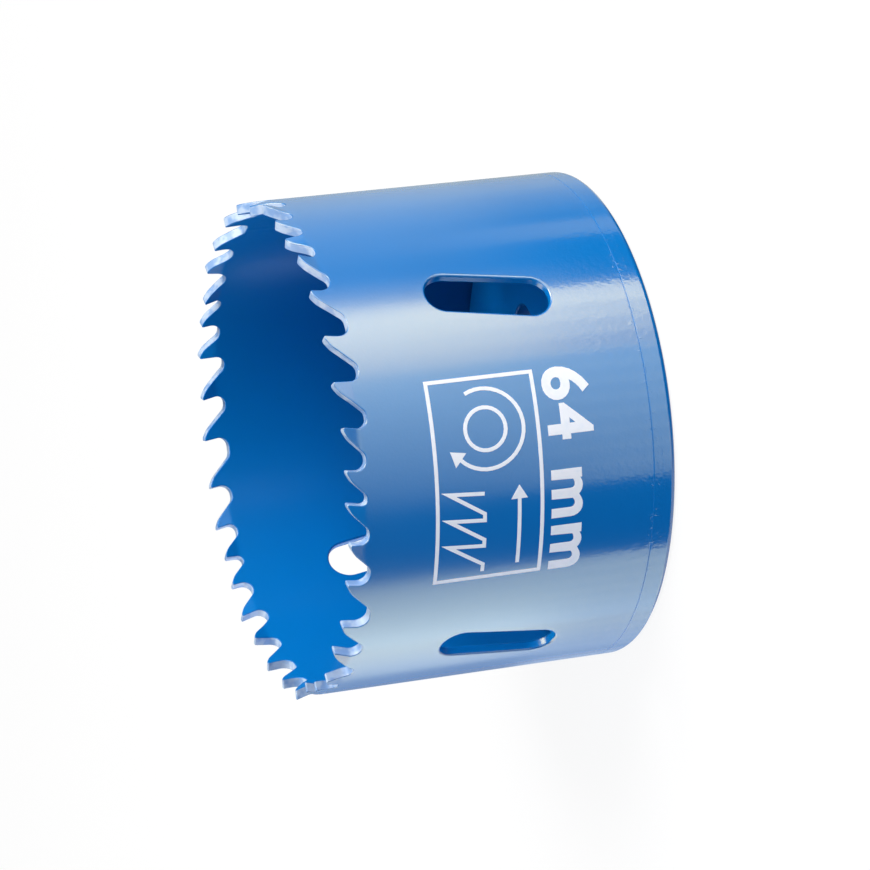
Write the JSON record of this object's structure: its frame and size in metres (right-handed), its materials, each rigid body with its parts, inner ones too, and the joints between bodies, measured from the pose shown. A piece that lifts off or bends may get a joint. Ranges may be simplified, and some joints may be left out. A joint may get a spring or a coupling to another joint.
{
  "type": "hole saw",
  "caption": "Cup-shaped hole saw: a slotted round steel shell with a rim of set hook teeth, welded to a back plate with a threaded bore and drive pin holes.",
  "frame": {"origin": "centre of the back plate's back face, on which the saw stands", "axes": "+Z along the cup's axis from the back plate to the tooth tips; the slots' middles lie on the X and Y axes; seen from the teeth, the cutting faces point anticlockwise, towards +theta"},
  "size_m": [0.0635, 0.063, 0.0424],
  "materials": {
    "lacquered_shell": "glossy blue lacquer over steel, teeth included",
    "lacquered_plate": "glossy blue lacquer over steel"
  },
  "bodies": {
    "root": {"toothed_shell": "lacquered_shell", "back_plate": "lacquered_plate"}
  },
  "joints": []
}
